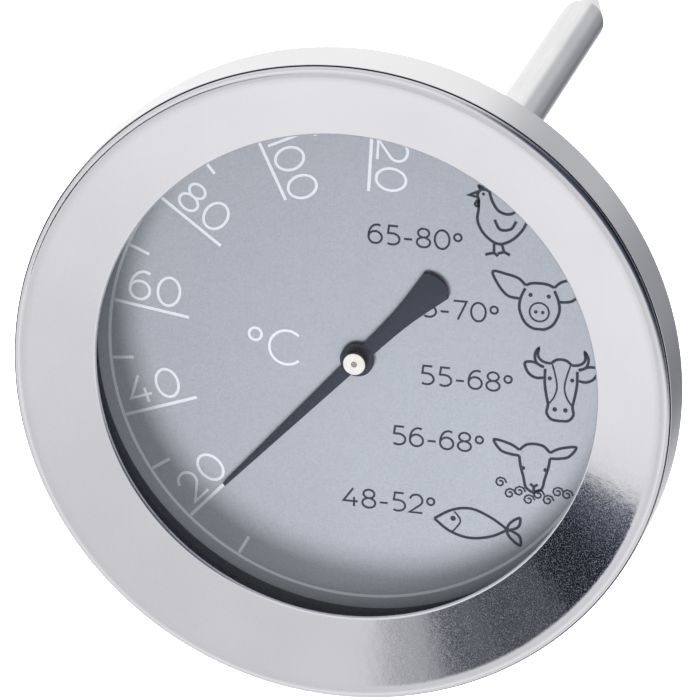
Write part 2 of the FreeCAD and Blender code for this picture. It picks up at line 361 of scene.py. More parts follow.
def ribbon(verts, faces, points, width, floor_z, closed=False):
    """Adds one raised ink line along a flat path to a mesh that is being made."""
    count = len(points)
    start = len(verts)
    for i, here in enumerate(points):
        here = Vector(here)
        before = Vector(points[(i - 1) % count if closed else max(i - 1, 0)])
        after = Vector(points[(i + 1) % count if closed else min(i + 1, count - 1)])
        into = (here - before if before != here else after - here).normalized()
        out_of = (after - here if after != here else here - before).normalized()
        middle = (into + out_of).normalized()
        side = Vector((-middle.y, middle.x))
        reach = width / 2 / max(INK_MITRE, side.dot(Vector((-into.y, into.x))))
        for across, z in ((-1, -INK_ROOT), (1, -INK_ROOT), (1, INK_HEIGHT), (-1, INK_HEIGHT)):
            edge = here + side * reach * across
            verts.append((edge.x, edge.y, floor_z + z))
    for i in range(count if closed else count - 1):
        a, b = start + 4 * i, start + 4 * ((i + 1) % count)
        for k in range(4):
            n = (k + 1) % 4
            faces.append((a + k, a + n, b + n, b + k))
    if not closed:
        last = start + 4 * (count - 1)
        faces.append((start, start + 1, start + 2, start + 3))
        faces.append((last, last + 1, last + 2, last + 3))


def ink(name, strokes, material):
    """One printed piece on the dial from (points, width, closed) strokes."""
    verts, faces = [], []
    for i, (points, width, closed) in enumerate(strokes):
        ribbon(verts, faces, points, width, DIAL_TOP + INK_STEP * (i % INK_LAYERS), closed)
    piece(name, mesh_from(name, verts, faces), "case", material)


# --- Figures, drawn in a box one unit high --------------------------------------------
FIGURES = {
    "0": (0.76, [bow(0.38, 0.5, 0.38, 0.5, 0, 360)]),
    "1": (0.26, [[(0, 0.8), (0.26, 1), (0.26, 0)]]),
    "2": (0.68, [bow(0.34, 0.68, 0.33, 0.32, 168, -50) + [(0, 0), (0.68, 0)]]),
    "4": (0.76, [[(0.5, 1), (0, 0.28), (0.76, 0.28)], [(0.56, 0.52), (0.56, 0)]]),
    "5": (0.68, [[(0.6, 1), (0.13, 1), (0.08, 0.6)] + bow(0.3, 0.3, 0.38, 0.3, 90, -128)]),
    "6": (0.69, [bow(0.345, 0.32, 0.345, 0.32, 0, 360),
                 [(0, 0.32)] + bow(0.44, 0.4, 0.44, 0.6, 180, 66)]),
    "7": (0.68, [[(0, 1), (0.68, 1), (0.24, 0)]]),
    "8": (0.69, [bow(0.345, 0.765, 0.29, 0.235, 0, 360),
                 bow(0.345, 0.265, 0.345, 0.265, 0, 360)]),
    "-": (0.42, [[(0, 0.36), (0.42, 0.36)]]),
    "°": (0.385, [bow(0.19, 0.69, 0.19, 0.19, 0, 360)]),
}


def is_loop(points):
    return (Vector(points[0]) - Vector(points[-1])).length < TINY


def figure(character, left, base, height, stroke, turn=0.0, origin=(0, 0)):
    """Strokes of one figure with its outer edge at left, its foot at base."""
    scale = height - stroke
    spin = Matrix.Rotation(math.radians(turn), 2)
    out = []
    for path in FIGURES[character][1]:
        placed = [Vector((left + stroke / 2 + x * scale, base + stroke / 2 + y * scale))
                  for x, y in path]
        placed = [spin @ p + Vector(origin) for p in placed]
        closed = is_loop(placed)
        out.append((placed[:-1] if closed else placed, stroke, closed))
    return out


def figure_width(character, height, stroke):
    return FIGURES[character][0] * (height - stroke) + stroke


def scale_angle(celsius):
    return ANGLE_AT_0_C - DEGREES_PER_CELSIUS * celsius


def on_scale(radius, degrees):
    a = math.radians(degrees)
    return (SCALE_CENTRE[0] + radius * math.cos(a), SCALE_CENTRE[1] + radius * math.sin(a))


def scale_marks():
    circle = bow(*SCALE_CENTRE, SCALE_RING_R, SCALE_RING_R, 0, 360, 2)[:-1]
    strokes = [(circle, SCALE_RING_WIDTH, True)]
    long_marks = [(celsius, MARK_IN_R) for celsius, _ in SCALE_NUMBERS]
    short_marks = [(celsius, SHORT_MARK_IN_R) for celsius in SCALE_BETWEEN]
    for celsius, inner_r in long_marks + short_marks:
        angle = scale_angle(celsius)
        mark = [on_scale(inner_r, angle), on_scale(MARK_OUT_R, angle)]
        strokes.append((mark, MARK_WIDTH, False))
    return strokes


def scale_numbers():
    """Each number reads inward along its mark and stands on it."""
    strokes = []
    base = NUMBER_ABOVE - NUMBER_HEIGHT / 2
    for celsius, from_end in SCALE_NUMBERS:
        angle = scale_angle(celsius)
        figures = str(celsius)
        right = figure_width(figures[-1], NUMBER_HEIGHT, NUMBER_STROKE) / 2 - from_end
        for character in reversed(figures):
            left = right - figure_width(character, NUMBER_HEIGHT, NUMBER_STROKE)
            strokes += figure(character, left, base, NUMBER_HEIGHT, NUMBER_STROKE, angle + 180,
                              on_scale(MARK_IN_R, angle))
            right = left - NUMBER_GAP
    return strokes


def unit_mark():
    ring_x, ring_y, ring_d = UNIT_RING
    letter_x, letter_y, letter_d = UNIT_LETTER
    circle = bow(ring_x, ring_y, ring_d / 2, ring_d / 2, 0, 360)[:-1]
    letter = bow(letter_x, letter_y, letter_d / 2, letter_d / 2, 47, 313)
    return [(circle, UNIT_STROKE, True), (letter, UNIT_STROKE, False)]


def label_strokes():
    strokes = []
    for text, left, base in LABELS:
        for character in text:
            strokes += figure(character, left, base, LABEL_HEIGHT, LABEL_STROKE)
            left += figure_width(character, LABEL_HEIGHT, LABEL_STROKE) + LABEL_GAP
    return strokes


def dot(x, y, radius):
    """A filled spot: a ring as wide as its own radius."""
    return (bow(x, y, radius / 2, radius / 2, 0, 360, 20)[:-1], radius, True)


def ring(x, y, radius, width=ICON_STROKE):
    return (bow(x, y, radius, radius, 0, 360)[:-1], width, True)


def line(*points):
    return (list(points), ICON_STROKE, False)


def curve(*points, width=ICON_STROKE):
    return (ease(points), width, False)


def loop(*points):
    return (ease(points, closed=True), ICON_STROKE, True)


def mirrored(stroke):
    points, width, closed = stroke
    return ([(-x, y) for x, y in points], width, closed)


def both(*strokes):
    """The strokes with their mirror images about x = 0."""
    return [*strokes, *[mirrored(s) for s in strokes]]


def hen_icon():
    """Hen seen from the side, walking to the left."""
    comb = curve((-1.55, 3.0), (-1.75, 3.4), (-1.4, 3.3), (-1.25, 3.6), (-0.95, 3.3), (-0.6, 3.4),
                 (-0.75, 2.95))
    breast = curve((-1.75, 2.1), (-1.72, 1.2), (-1.8, 0.1), (-1.3, -1.0), (-0.4, -1.8), (0.5, -2.0),
                   (1.6, -1.4), (2.5, -0.3), (2.9, 0.9), (3.1, 2.2))
    back = curve((-0.75, 2.95), (-0.5, 2.1), (0.1, 1.2), (1.0, 0.9), (1.8, 1.3), (2.2, 2.1))
    head = curve((-0.75, 2.95), (-1.2, 3.1), (-1.65, 2.95), (-1.85, 2.5), (-1.7, 2.1))
    beak = line((-1.8, 2.85), (-2.6, 2.45), (-1.75, 2.3))
    wattle = loop((-1.75, 2.1), (-2.05, 1.6), (-1.75, 1.45))
    wing = curve((-0.2, 0.3), (0.3, -0.6), (1.3, -0.5), (1.8, 0.3))
    legs = [line((-0.2, -1.85), (-0.2, -2.9)), line((0.5, -2.0), (0.75, -2.75))]
    feet = [line((-1.0, -3.15), (-0.2, -2.9), (0.2, -3.2)),
            line((0.15, -2.95), (0.75, -2.75), (1.3, -3.0))]
    return [comb, breast, back, head, beak, wattle, wing, *legs, *feet, dot(-1.3, 2.65, 0.14)]


def pig_icon():
    """Pig's head from the front, ears out."""
    ear = curve((-1.35, 1.75), (-2.0, 2.35), (-3.1, 2.65), (-4.4, 2.8), (-3.9, 1.6), (-3.0, 0.6),
                (-1.9, 0.4))
    cheek = curve((-1.35, 1.45), (-1.75, 0.5), (-1.85, -0.6), (-1.35, -1.8), (-0.6, -2.35), (0, -2.4))
    brow = curve((-1.35, 1.75), (-0.7, 2.0), (0, 2.05))
    face = both(ear, cheek, brow, dot(-0.85, 0.85, 0.2), dot(-0.32, -0.75, 0.17))
    return [*face, ring(0, -0.75, 0.9, FINE_STROKE)]


def cow_icon():
    """Cow's head from the front, with horns and a blaze."""
    horn = curve((-1.0, 1.35), (-1.75, 1.5), (-2.2, 2.0), (-2.15, 2.75), (-2.5, 2.1), (-2.3, 1.3),
                 (-1.6, 0.95))
    poll = curve((-1.0, 1.35), (-0.5, 1.75), (0, 1.85))
    ear = curve((-1.75, 0.95), (-2.6, 1.35), (-3.4, 1.2), (-3.1, 0.3), (-2.4, -0.15), (-1.65, -0.1))
    cheek = curve((-1.5, 0.8), (-1.5, -0.6), (-1.3, -1.9), (-1.15, -2.7), (-1.25, -3.5), (-0.8, -4.1),
                  (0, -4.2))
    blaze = curve((-0.85, 1.3), (-0.55, 0.3), (-0.35, -0.9), (-0.6, -1.9), (-1.15, -2.7),
                  width=FINE_STROKE)
    return both(horn, poll, ear, cheek, blaze, dot(-1.05, -0.1, 0.2), dot(-0.5, -3.1, 0.22))


def lamb_icon():
    """Lamb's head from the front above a row of curls."""
    ear = curve((-1.45, 1.75), (-2.3, 2.25), (-3.85, 2.55), (-3.2, 1.55), (-2.2, 1.25), (-1.45, 1.2))
    cheek = curve((-1.45, 1.2), (-1.3, 0.2), (-1.0, -0.9), (-0.75, -1.9), (0, -2.4))
    poll = curve((-1.45, 1.75), (-0.8, 2.35), (0, 2.5))
    nose = line((-0.35, -1.5), (0, -1.8), (0, -2.2))
    strokes = both(ear, cheek, poll, nose, dot(-1.05, 0.0, 0.2))
    for i in range(CURLS):
        x = CURL_PITCH * (i - (CURLS - 1) / 2)
        y = CURL_ROW_Y + CURL_RISE * x ** 2 + CURL_STAGGER * (-1) ** i
        turns = [(CURL_R * (1 - k / CURL_SHRINK), CURL_STEP * k) for k in range(CURL_POINTS)]
        curl = [(x + r * math.cos(a), y + r * math.sin(a)) for r, a in turns]
        strokes.append((curl, FINE_STROKE, False))
    return strokes


def fish_icon():
    """Fish swimming to the left."""
    nose, joint = (-4.1, 0.1), (2.9, -0.3)
    body = [curve(nose, (-2.4, 1.15), (-0.6, 1.45), (1.3, 0.75), joint),
            curve(nose, (-2.6, -1.0), (-0.7, -1.5), (1.3, -1.15), joint)]
    tail = [loop(joint, (3.1, 0.4), (4.0, 1.0), (3.9, 0.1)),
            loop(joint, (3.1, -1.0), (4.1, -1.75), (4.0, -0.8))]
    gill = curve((-2.2, 1.0), (-1.6, 0.1), (-2.3, -1.0), width=FINE_STROKE)
    return [*body, *tail, gill, dot(-2.3, 0.3, 0.26)]


ICONS = {"hen_mark": (hen_icon, 12.75, 14.45), "pig_mark": (pig_icon, 16.9, 6.95),
         "cow_mark": (cow_icon, 19.1, -0.05), "lamb_mark": (lamb_icon, 16.85, -9.25),
         "fish_mark": (fish_icon, 11.6, -15.3)}


# --- Materials ---------------------------------------------------------------------
class Paint:
    """A Principled material and short calls that wire procedural detail into it."""

    def __init__(self, name):
        self.material = bpy.data.materials.new(name)
        self.material.use_nodes = True
        self.tree = self.material.node_tree
        self.shader = next(n for n in self.tree.nodes if n.type == "BSDF_PRINCIPLED")
        self.place = self.tree.nodes.new("ShaderNodeTexCoord").outputs["Object"]

    def node(self, kind, **settings):
        made = self.tree.nodes.new(kind)
        for key, value in settings.items():
            setattr(made, key, value)
        return made

    def wire(self, source, target):
        self.tree.links.new(source, target)

    def set(self, **values):
        for key, value in values.items():
            self.shader.inputs[key.replace("_", " ")].default_value = value
        return self

    def noise(self, grain_mm, detail=2.0, stretch=(1, 1, 1)):
        """Noise whose blobs are about grain_mm across, longer where stretch is above 1."""
        mapping = self.node("ShaderNodeMapping")
        mapping.inputs["Scale"].default_value = [1 / s for s in stretch]
        self.wire(self.place, mapping.inputs["Vector"])
        texture = self.node("ShaderNodeTexNoise")
        texture.inputs["Scale"].default_value = 1 / (grain_mm * MM)
        texture.inputs["Detail"].default_value = detail
        self.wire(mapping.outputs["Vector"], texture.inputs["Vector"])
        return texture.outputs["Fac"]

    def spread(self, factor, low, high, start=0.35, end=0.65):
        """Number that runs from low to high as factor goes from start to end."""
        made = self.node("ShaderNodeMapRange")
        for key, value in (("From Min", start), ("From Max", end), ("To Min", low), ("To Max", high)):
            made.inputs[key].default_value = value
        self.wire(factor, made.inputs["Value"])
        return made.outputs["Result"]

    def blend(self, factor, first, second, start=0.35, end=0.65):
        """Colour that runs from first to second as factor goes from start to end."""
        ramp = self.node("ShaderNodeValToRGB")
        low, high = ramp.color_ramp.elements
        low.position, low.color = start, (*first, 1)
        high.position, high.color = end, (*second, 1)
        self.wire(factor, ramp.inputs["Fac"])
        return ramp.outputs["Color"]

    def times(self, first, second):
        mix = self.node("ShaderNodeMix", data_type="RGBA", blend_type="MULTIPLY")
        mix.inputs["Factor"].default_value = 1.0
        self.wire(first, mix.inputs["A"])
        self.wire(second, mix.inputs["B"])
        return mix.outputs["Result"]

    def colour(self, source):
        self.wire(source, self.shader.inputs["Base Color"])

    def rough(self, source):
        self.wire(source, self.shader.inputs["Roughness"])

    def bump(self, *layers):
        """Surface relief from (height source, depth in millimetres) layers."""
        below = None
        for source, depth_mm in layers:
            made = self.node("ShaderNodeBump")
            made.inputs["Strength"].default_value = 1.0
            made.inputs["Distance"].default_value = depth_mm * MM
            self.wire(source, made.inputs["Height"])
            if below:
                self.wire(below, made.inputs["Normal"])
            below = made.outputs["Normal"]
        self.wire(below, self.shader.inputs["Normal"])


def steel(name, light, dark, rough, grain_mm, depth_mm, stretch=(1, 1, 1), cloud_mm=9.0,
          wave_mm=3.0, wave_depth_mm=0.002, dull_span=(0.3, 0.7)):
    """Stainless steel with a fine grain, a slow tone change and a slightly wavy polish."""
    paint = Paint(name).set(Metallic=1.0)
    grain = paint.noise(grain_mm, 3.0, stretch)
    cloud = paint.noise(cloud_mm, 2.0)
    tone = paint.blend(grain, dark, light, 0.3, 0.6)
    wide = paint.blend(cloud, (0.965, 0.965, 0.97), (1, 1, 1))
    paint.colour(paint.times(tone, wide))
    paint.rough(paint.spread(grain, *rough, *dull_span))
    paint.bump((paint.noise(wave_mm, 2.0, stretch), wave_depth_mm), (grain, depth_mm))
    return paint.material


def bezel_steel():
    """Polished sheet with a scatter of duller specks."""
    return steel("bezel_steel", (0.752, 0.75, 0.785), (0.722, 0.72, 0.754), (0.05, 0.25), 0.12, 0.0018,
                 wave_mm=0.8, wave_depth_mm=0.007, dull_span=(0.38, 0.7))


def case_steel():
    return steel("case_steel", (0.74, 0.735, 0.745), (0.7, 0.695, 0.705), (0.16, 0.25), 0.15, 0.0006)


def stem_steel():
    return steel("stem_steel", (0.76, 0.76, 0.765), (0.72, 0.72, 0.73), (0.12, 0.2), 0.25, 0.0005,
                 (1, 1, 14), 5.0)


def turned_steel():
    return steel("turned_steel", (0.66, 0.66, 0.67), (0.58, 0.58, 0.59), (0.22, 0.34), 0.15, 0.001)


def dial_paint():
    """Blue-grey lacquer with a fine metallic grain."""
    paint = Paint("dial_paint").set(Specular_IOR_Level=0.3)
    grain = paint.noise(0.12, 2.0)
    cloud = paint.noise(7.0, 3.0)
    tone = paint.blend(grain, (0.18, 0.19, 0.2145), (0.216, 0.2275, 0.254), 0.4, 0.6)
    wide = paint.blend(cloud, (0.975, 0.975, 0.98), (1, 1, 1))
    paint.colour(paint.times(tone, wide))
    paint.rough(paint.spread(grain, 0.5, 0.65))
    paint.bump((grain, 0.0015))
    return paint.material


def ink_paint(name, light, dark):
    """Screen-printed ink, slightly uneven in cover."""
    paint = Paint(name).set(Specular_IOR_Level=0.15)
    cover = paint.noise(0.2, 3.0)
    paint.colour(paint.blend(cover, dark, light))
    paint.rough(paint.spread(cover, 0.45, 0.6))
    paint.bump((cover, 0.002))
    return paint.material


def pointer_lacquer():
    """Dark slate lacquer with a fine orange-peel surface."""
    paint = Paint("pointer_lacquer").set(Specular_IOR_Level=0.15)
    grain = paint.noise(0.14, 3.0)
    paint.colour(paint.blend(grain, (0.01, 0.012, 0.019), (0.019, 0.022, 0.031)))
    paint.rough(paint.spread(grain, 0.38, 0.55))
    paint.bump((grain, 0.004))
    return paint.material


def bushing_paint():
    """Ivory on the end face, darker down the side."""
    paint = Paint("bushing_paint").set(Specular_IOR_Level=0.4)
    grain = paint.noise(0.5, 3.0)
    ivory = paint.blend(grain, (0.345, 0.33, 0.315), (0.39, 0.37, 0.355))
    # Below the end face the side is painted dark, multiplied over the ivory.
    split = paint.node("ShaderNodeSeparateXYZ")
    paint.wire(paint.place, split.inputs[0])
    side = (BUSHING_TOP - CAP_DEPTH) * MM
    cap = paint.spread(split.outputs["Z"], 0.0, 1.0, side, side + CAP_FADE * MM)
    side_darkening = paint.blend(cap, (0.02, 0.022, 0.03), (1, 1, 1), 0.0, 1.0)
    paint.colour(paint.times(ivory, side_darkening))
    paint.rough(paint.spread(grain, 0.3, 0.42))
    paint.bump((grain, 0.002))
    return paint.material


def plastic(name, light, dark, rough=(0.4, 0.55), grain_mm=0.3, depth_mm=0.003):
    """Moulded plastic or rubber with a fine matt texture."""
    paint = Paint(name).set(Specular_IOR_Level=0.4)
    grain = paint.noise(grain_mm, 3.0)
    paint.colour(paint.blend(grain, dark, light))
    paint.rough(paint.spread(grain, *rough))
    paint.bump((grain, depth_mm))
    return paint.material


def metal(name, light, dark, rough=(0.25, 0.4), grain_mm=0.4, stretch=(1, 1, 1)):
    """Plain machined or rolled metal of the hidden pieces."""
    paint = Paint(name).set(Metallic=1.0)
    grain = paint.noise(grain_mm, 3.0, stretch)
    paint.colour(paint.blend(grain, dark, light))
    paint.rough(paint.spread(grain, *rough))
    paint.bump((grain, 0.001))
    return paint.material


def lens_glass():
    """Clear glass that bends the view, and lets lamps through to the dial."""
    paint = Paint("lens_glass")
    paint.set(Base_Color=(1, 1, 1, 1), Transmission_Weight=1.0, IOR=1.5,
              Specular_Tint=(0.3, 0.3, 0.32, 1))
    smear = paint.noise(6.0, 2.0, (1, 6, 1))
    paint.rough(paint.spread(smear, 0.0, 0.012, 0.4, 0.75))
    path = paint.node("ShaderNodeLightPath")
    either = paint.node("ShaderNodeMath", operation="MAXIMUM")
    paint.wire(path.outputs["Is Shadow Ray"], either.inputs[0])
    paint.wire(path.outputs["Is Diffuse Ray"], either.inputs[1])
    clear = paint.node("ShaderNodeBsdfTransparent")
    clear.inputs["Color"].default_value = (0.94, 0.95, 0.95, 1)
    mix = paint.node("ShaderNodeMixShader")
    output = next(n for n in paint.tree.nodes if n.type == "OUTPUT_MATERIAL")
    paint.wire(either.outputs[0], mix.inputs["Fac"])
    paint.wire(paint.shader.outputs[0], mix.inputs[1])
    paint.wire(clear.outputs[0], mix.inputs[2])
    paint.wire(mix.outputs[0], output.inputs["Surface"])
    return paint.material


# --- Pieces ----------------------------------------------------------------------------
def make_bezel():
    lip_r = OPENING_R + LIP_ROUND
    lip_z = BEZEL_UNDER + LIP_ROUND
    ease_slope = math.radians(CROWN_SLOPE)
    shoulder_z = BEZEL_TOP - SHOULDER_ROUND
    outer_z = shoulder_z + SHOULDER_ROUND * (1 / math.cos(ease_slope) + math.tan(ease_slope))
    crown_z = outer_z - (BEZEL_R - CROWN_R) * math.tan(ease_slope)
    across, rise = CROWN_R - lip_r, crown_z - lip_z
    slope = math.atan2(rise, across) - math.asin(LIP_ROUND / math.hypot(across, rise))
    along = Vector((math.cos(slope), math.sin(slope)))
    up = Vector((-along.y, along.x))
    lip_end = Vector((lip_r, lip_z)) - along * LIP_ROUND
    lip_top = lip_end + up * LIP_ROUND
    lip_under = lip_end - up * LIP_ROUND
    inside_r = BEZEL_R - SHEET
    inside_z = lip_under.y + (inside_r - lip_under.x) * math.tan(slope)
    lip_corner = LIP_ROUND * 0.99       # the two rounds of the lip stop just short of meeting
    corners = [(*lip_under, lip_corner), (*lip_top, lip_corner),
               (CROWN_R, crown_z, CROWN_ROUND), (BEZEL_R, outer_z, SHOULDER_ROUND),
               (BEZEL_R, SKIRT_BOTTOM, 0.1), (inside_r, SKIRT_BOTTOM, 0.1),
               (inside_r, inside_z, 0.2)]
    piece("bezel", lathe("bezel", corners), "case", bezel_steel(), ["bezel_ring"])


def make_case():
    dimple_z = CASE_BACK + DIMPLE_DEPTH
    cup_in = CUP_R - SHEET
    well_in = WELL_R - SHEET
    rim_top = CASE_TOP + RIM_RISE
    corners = [
        (NECK_R, dimple_z, 0.1), (DIMPLE_R, dimple_z, 0.1), (DIMPLE_R, CASE_BACK, 0.12),
        (CUP_R, CASE_BACK, CUP_ROUND), (CUP_R, STEP_Z - SHEET, 0.3),
        (WELL_R, STEP_Z - SHEET, SHEET), (WELL_R, FLANGE_Z, 0.3),
        (CASE_R, FLANGE_Z, RIM_ROUND), (RIM_TOP_R, rim_top, RIM_EDGE),
        (COUNTERBORE_R, rim_top, RIM_EDGE), (COUNTERBORE_R, COUNTERBORE_Z),
        (RIM_IN_R, COUNTERBORE_Z), (RIM_IN_R, FLANGE_Z + SHEET), (well_in, FLANGE_Z + SHEET),
        (well_in, STEP_Z), (cup_in, STEP_Z), (cup_in, CASE_BACK + SHEET, CUP_ROUND - SHEET),
        (DIMPLE_R + SHEET, CASE_BACK + SHEET), (DIMPLE_R + SHEET, dimple_z + SHEET),
        (NECK_R, dimple_z + SHEET)]
    piece("case", lathe("case", corners), "case", case_steel(), ["case_shell"])


def make_dial_side():
    """Lens, spacer and dial: everything under the bezel that the opening shows."""
    lens = [(0, LENS_UNDER), (LENS_R, LENS_UNDER, 0.15), (LENS_R, LENS_TOP, 0.15), (0, LENS_TOP)]
    piece("lens_pane", lathe("lens_pane", lens), "case", lens_glass(), ["lens"])
    flange_top = FLANGE_Z + SHEET
    collar_in = LENS_R + 0.15
    spacer = [(SPACER_IN_R, DIAL_TOP, 0.1), (LENS_R, DIAL_TOP), (LENS_R, flange_top),
              (SPACER_R, flange_top), (SPACER_R, SPACER_TOP, 0.1), (collar_in, SPACER_TOP, 0.1),
              (collar_in, flange_top), (LENS_R, LENS_UNDER), (SPACER_IN_R, LENS_UNDER, 0.1)]
    black = plastic("spacer_plastic", (0.0125, 0.0135, 0.0205), (0.008, 0.0088, 0.014))
    piece("spacer", lathe("spacer", spacer), "case", black, ["spacer_ring"])
    hole_r = bore_of("dial_plate")
    dial = [(hole_r, DIAL_UNDER), (DIAL_R, DIAL_UNDER), (DIAL_R, DIAL_TOP, 0.05),
            (hole_r, DIAL_TOP, 0.05)]
    piece("dial", lathe("dial", dial), "case", dial_paint(), ["dial_plate"])


def make_prints():
    white = ink_paint("white_ink", (0.395, 0.41, 0.44), (0.365, 0.38, 0.41))
    slate = ink_paint("slate_ink", (0.018, 0.021, 0.03), (0.013, 0.016, 0.024))
    ink("scale_marks", scale_marks(), white)
    ink("scale_numbers", scale_numbers(), white)
    ink("unit_mark", unit_mark(), white)
    ink("heat_labels", label_strokes(), slate)
    for name, (draw, x, y) in ICONS.items():
        placed = [([(px + x, py + y) for px, py in points], width, closed)
                  for points, width, closed in draw()]
        ink(name, placed, slate)


def pointer_outline():
    """One closed outline: needle, hub bulge and flared tail."""
    hub_needle = math.degrees(math.asin(NEEDLE_ROOT / HUB_R))
    hub_tail = math.degrees(math.asin(TAIL_ROOT / HUB_R))
    flank = ease([(-HUB_R, TAIL_ROOT + TAIL_FLARE), (-TAIL_MIDDLE[0], TAIL_MIDDLE[1]),
                  (-TAIL_CORNER[0], TAIL_CORNER[1])], steps=8)
    drop = TAIL_LENGTH - TAIL_CORNER[0]
    end_r = (TAIL_CORNER[1] ** 2 + drop ** 2) / (2 * drop)
    half = math.degrees(math.asin(TAIL_CORNER[1] / end_r))
    end = bow(-TAIL_LENGTH + end_r, 0, end_r, end_r, 180 - half, 180 + half, 6)
    upper = [(NEEDLE_LENGTH, NEEDLE_TIP)] + bow(0, 0, HUB_R, HUB_R, hub_needle, 180 - hub_tail, 6)
    lower = [(x, -y) for x, y in reversed(flank)]
    under = [(x, -y) for x, y in reversed(upper)]
    return upper + flank[1:] + end[1:-1] + lower[:-1] + under


def make_pointer():
    outline = pointer_outline()
    bm = bmesh.new()
    rim = [bm.verts.new(Vector((x, y, POINTER_UNDER)) * MM) for x, y in outline]
    face = bm.faces.new(rim)
    top = bmesh.ops.extrude_face_region(bm, geom=[face])
    lifted = [g for g in top["geom"] if isinstance(g, bmesh.types.BMVert)]
    bmesh.ops.translate(bm, verts=lifted, vec=(0, 0, (POINTER_TOP - POINTER_UNDER) * MM))
    bmesh.ops.recalc_face_normals(bm, faces=bm.faces)
    level = [e for e in bm.edges if abs(e.verts[0].co.z - e.verts[1].co.z) < LEVEL_WITHIN]
    bmesh.ops.bevel(bm, geom=level, offset=POINTER_ROUND * MM, segments=2, affect="EDGES",
                    profile=0.5, clamp_overlap=True)
    rest = math.radians(scale_angle(REST_CELSIUS))
    bmesh.ops.rotate(bm, verts=bm.verts, matrix=Matrix.Rotation(rest, 3, "Z"))
    mesh = bpy.data.meshes.new("needle")
    bm.to_mesh(mesh)
    bm.free()
    piece("needle", mesh, "indicator", pointer_lacquer(), ["pointer"], sharp=25.0)


def make_hub():
    """Bushing pressed through the pointer, with the staff's end in its middle."""
    bore_r = PIN_R + STAFF_GAP
    pressed_r = HUB_R / 2
    hub = [(bore_r, POINTER_UNDER), (pressed_r, POINTER_UNDER), (pressed_r, POINTER_TOP),
           (BUSHING_R, POINTER_TOP), (BUSHING_R, BUSHING_TOP, 0.08), (bore_r, BUSHING_TOP, 0.04)]
    piece("hub_bushing", lathe("hub_bushing", hub, 96), "indicator", bushing_paint(),
          ["pointer_bushing"])
    collar_z = bottom_of("pointer_staff")
    staff_r = radius_of("pointer_staff")
    shoulder_z = POINTER_UNDER - STAFF_STEP
    staff = [(0, collar_z), (staff_r, collar_z, 0.05), (staff_r, shoulder_z, 0.03),
             (PIN_R, shoulder_z), (PIN_R, STAFF_TOP, 0.03), (PUNCH_R, STAFF_TOP),
             (0, STAFF_TOP - PUNCH_R)]
    bright = metal("staff_steel", (0.66, 0.64, 0.62), (0.5, 0.48, 0.46), (0.3, 0.5), 0.15)
    piece("staff", lathe("staff", staff, 48), "indicator", bright, ["pointer_staff"])


def make_stem():
    tube = [(STEM_BORE_R, CONE_TOP), (STEM_R, CONE_TOP), (STEM_R, 0, 0.05), (STEM_NECK_R, 0),
            (STEM_NECK_R, STEM_TOP, 0.05), (STEM_BORE_R, STEM_TOP)]
    bright = stem_steel()
    piece("stem", lathe("stem", tube, 128), "case", bright, ["stem_tube"])
    tip = [(0, TIP_Z), (NOSE_R, TIP_Z, NOSE_ROUND), (STEM_R, CONE_TOP),
           (STEM_BORE_R, CONE_TOP), (STEM_BORE_R, CONE_TOP + SPIGOT), (0, CONE_TOP + SPIGOT)]
    piece("tip", lathe("tip", tip, 128), "case", bright, ["stem_tip"])
    dimple_z = CASE_BACK + DIMPLE_DEPTH
    washer_top = top_of("ferrule_washer")
    head_r = FERRULE_R - FERRULE_LIP
    ferrule = [(STEM_NECK_R, 0, 0.08), (FERRULE_R - FERRULE_TAPER, 0, 0.1),
               (FERRULE_R, FERRULE_TAPER, 0.15),
               (FERRULE_R, dimple_z, 0.05), (NECK_R, dimple_z), (NECK_R, washer_top),
               (head_r, washer_top), (head_r, FERRULE_HEAD_TOP, 0.1),
               (STEM_NECK_R, FERRULE_HEAD_TOP)]
    piece("ferrule", lathe("ferrule", ferrule, 128), "case", turned_steel(), ["stem_ferrule"])


def finish_hidden_nodes():
    """Materials for the CAD nodes inside, which stay as they are."""
    brass = metal("guide_brass", (0.78, 0.58, 0.27), (0.66, 0.47, 0.2))
    strip = metal("bimetal_strip", (0.62, 0.52, 0.44), (0.5, 0.4, 0.33), (0.3, 0.45), 0.5, (1, 1, 3))
    plain = metal("plain_steel", (0.6, 0.6, 0.61), (0.5, 0.5, 0.51))
    rubber = plastic("seal_rubber", (0.03, 0.03, 0.032), (0.018, 0.018, 0.02), (0.6, 0.8), 0.4, 0.01)
    finishes = {"lower_guide_bush": brass, "mid_guide_bush": brass, "upper_guide_bush": brass,
                "bimetal_helix": strip, "coil_anchor": plain, "staff_collar": plain,
                "ferrule_washer": plain, "case_seal": rubber, "lens_gasket": rubber}
    for node, material in finishes.items():
        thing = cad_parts[node]
        thing.data.materials.clear()
        thing.data.materials.append(material)


# --- Stage -------------------------------------------------------------------------------
def direction(bearing, elevation):
    b, e = math.radians(bearing), math.radians(elevation)
    return Vector((math.cos(b) * math.cos(e), math.sin(b) * math.cos(e), math.sin(e)))


def studio_levels(new, link, ray):
    """Colour of the studio by height, before the cards."""
    split = new("ShaderNodeSeparateXYZ")
    link(ray, split.inputs[0])
    height = new("ShaderNodeMapRange")
    height.inputs["From Min"].default_value = -1.0
    link(split.outputs["Z"], height.inputs["Value"])
    levels = new("ShaderNodeValToRGB")
    stops = levels.color_ramp.elements
    stops[0].position = LEVELS[0][0]
    stops[1].position = LEVELS[-1][0]
    for place, _ in LEVELS[1:-1]:
        stops.new(place)
    for stop, (_, value) in zip(stops, LEVELS):
        stop.color = (value, value, value, 1)
    link(height.outputs["Result"], levels.inputs["Fac"])
    return levels.outputs["Color"]


